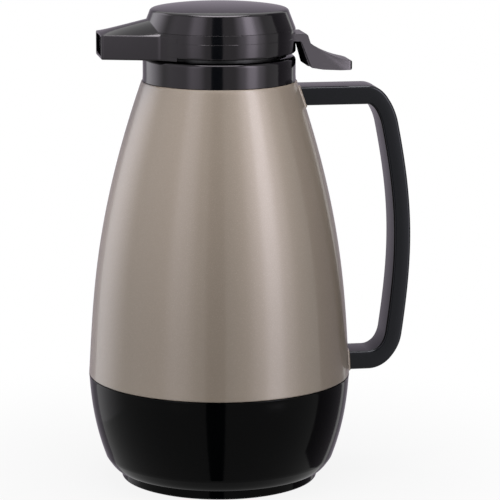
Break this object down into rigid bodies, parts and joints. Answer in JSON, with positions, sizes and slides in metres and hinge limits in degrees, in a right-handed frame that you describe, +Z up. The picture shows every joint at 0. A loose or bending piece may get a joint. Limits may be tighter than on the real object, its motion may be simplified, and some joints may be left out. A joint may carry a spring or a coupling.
{
  "type": "thermal carafe",
  "caption": "Insulated serving carafe with a round metallic shell, black base, bow handle, screw-in pouring lid, boxy spout and a thumb lever that lifts a valve.",
  "frame": {"origin": "on the body's vertical axis, on the underside of the foot, where the carafe stands", "axes": "+Z up; the handle and the thumb lever point towards +X, the spout towards -X; +Y is across"},
  "size_m": [0.1675, 0.136, 0.2484],
  "materials": {
    "shell_paint": "metallic champagne paint with a fine sparkle under clear gloss",
    "base_black": "high gloss black",
    "gloss_black": "gloss black with a slight grey bloom",
    "handle_black": "gloss black",
    "lever_black": "satin gloss black",
    "inner_black": "fine matt",
    "bush_plastic": "natural white",
    "rubber_dark": "matt",
    "silicone": "translucent grey silicone",
    "steel": "bright",
    "spring_steel": "drawn wire",
    "flask_glass": "silvered glass",
    "spacer_felt": "pressed fibre"
  },
  "bodies": {
    "carafe": {"base_cup": "base_black", "foot_ring": "rubber_dark", "outer_shell": "shell_paint", "neck_collar": "gloss_black", "handle": "handle_black", "handle_screws": "steel", "flask_liner": "flask_glass", "flask_jacket": "flask_glass", "flask_spacers": "spacer_felt", "flask_cushion": "rubber_dark", "neck_seal": "silicone"},
    "lid_gasket": {"stopper_seal": "silicone"},
    "lid": {"lid_housing": "gloss_black", "pour_channel": "inner_black", "lid_cap": "gloss_black", "stopper": "inner_black", "valve_deck": "inner_black", "lid_screws": "steel", "stem_bush": "bush_plastic", "lever_pin": "steel", "return_spring": "spring_steel"},
    "lever": {"thumb_lever": "lever_black"},
    "valve": {"valve_stem": "steel", "valve_disc": "inner_black", "valve_seal": "silicone", "stem_clip": "steel"}
  },
  "joints": [
    {"name": "lid_lift", "type": "slide", "parent": "carafe", "child": "lid_gasket", "axis": [0, 0, 1], "range_m": [0, 0.06]},
    {"name": "lid_turn", "type": "hinge", "parent": "lid_gasket", "child": "lid", "pos_m": [0, 0, 0.21], "axis": [0, 0, 1], "range_deg": [0, 90]},
    {"name": "lever_press", "type": "hinge", "parent": "lid", "child": "lever", "pos_m": [0.03, 0, 0.2333], "axis": [0, 1, 0], "range_deg": [0, 11.5], "stiffness_Nm_per_rad": 0.5, "springref_deg": -8.59},
    {"name": "valve_lift", "type": "slide", "parent": "lid", "child": "valve", "axis": [0, 0, 1], "range_m": [0, 0.0062], "deforming": ["return_spring"]}
  ],
  "couplings": [
    {"joint": "valve_lift", "follows": "lever_press", "m_per_rad": 0.03}
  ]
}
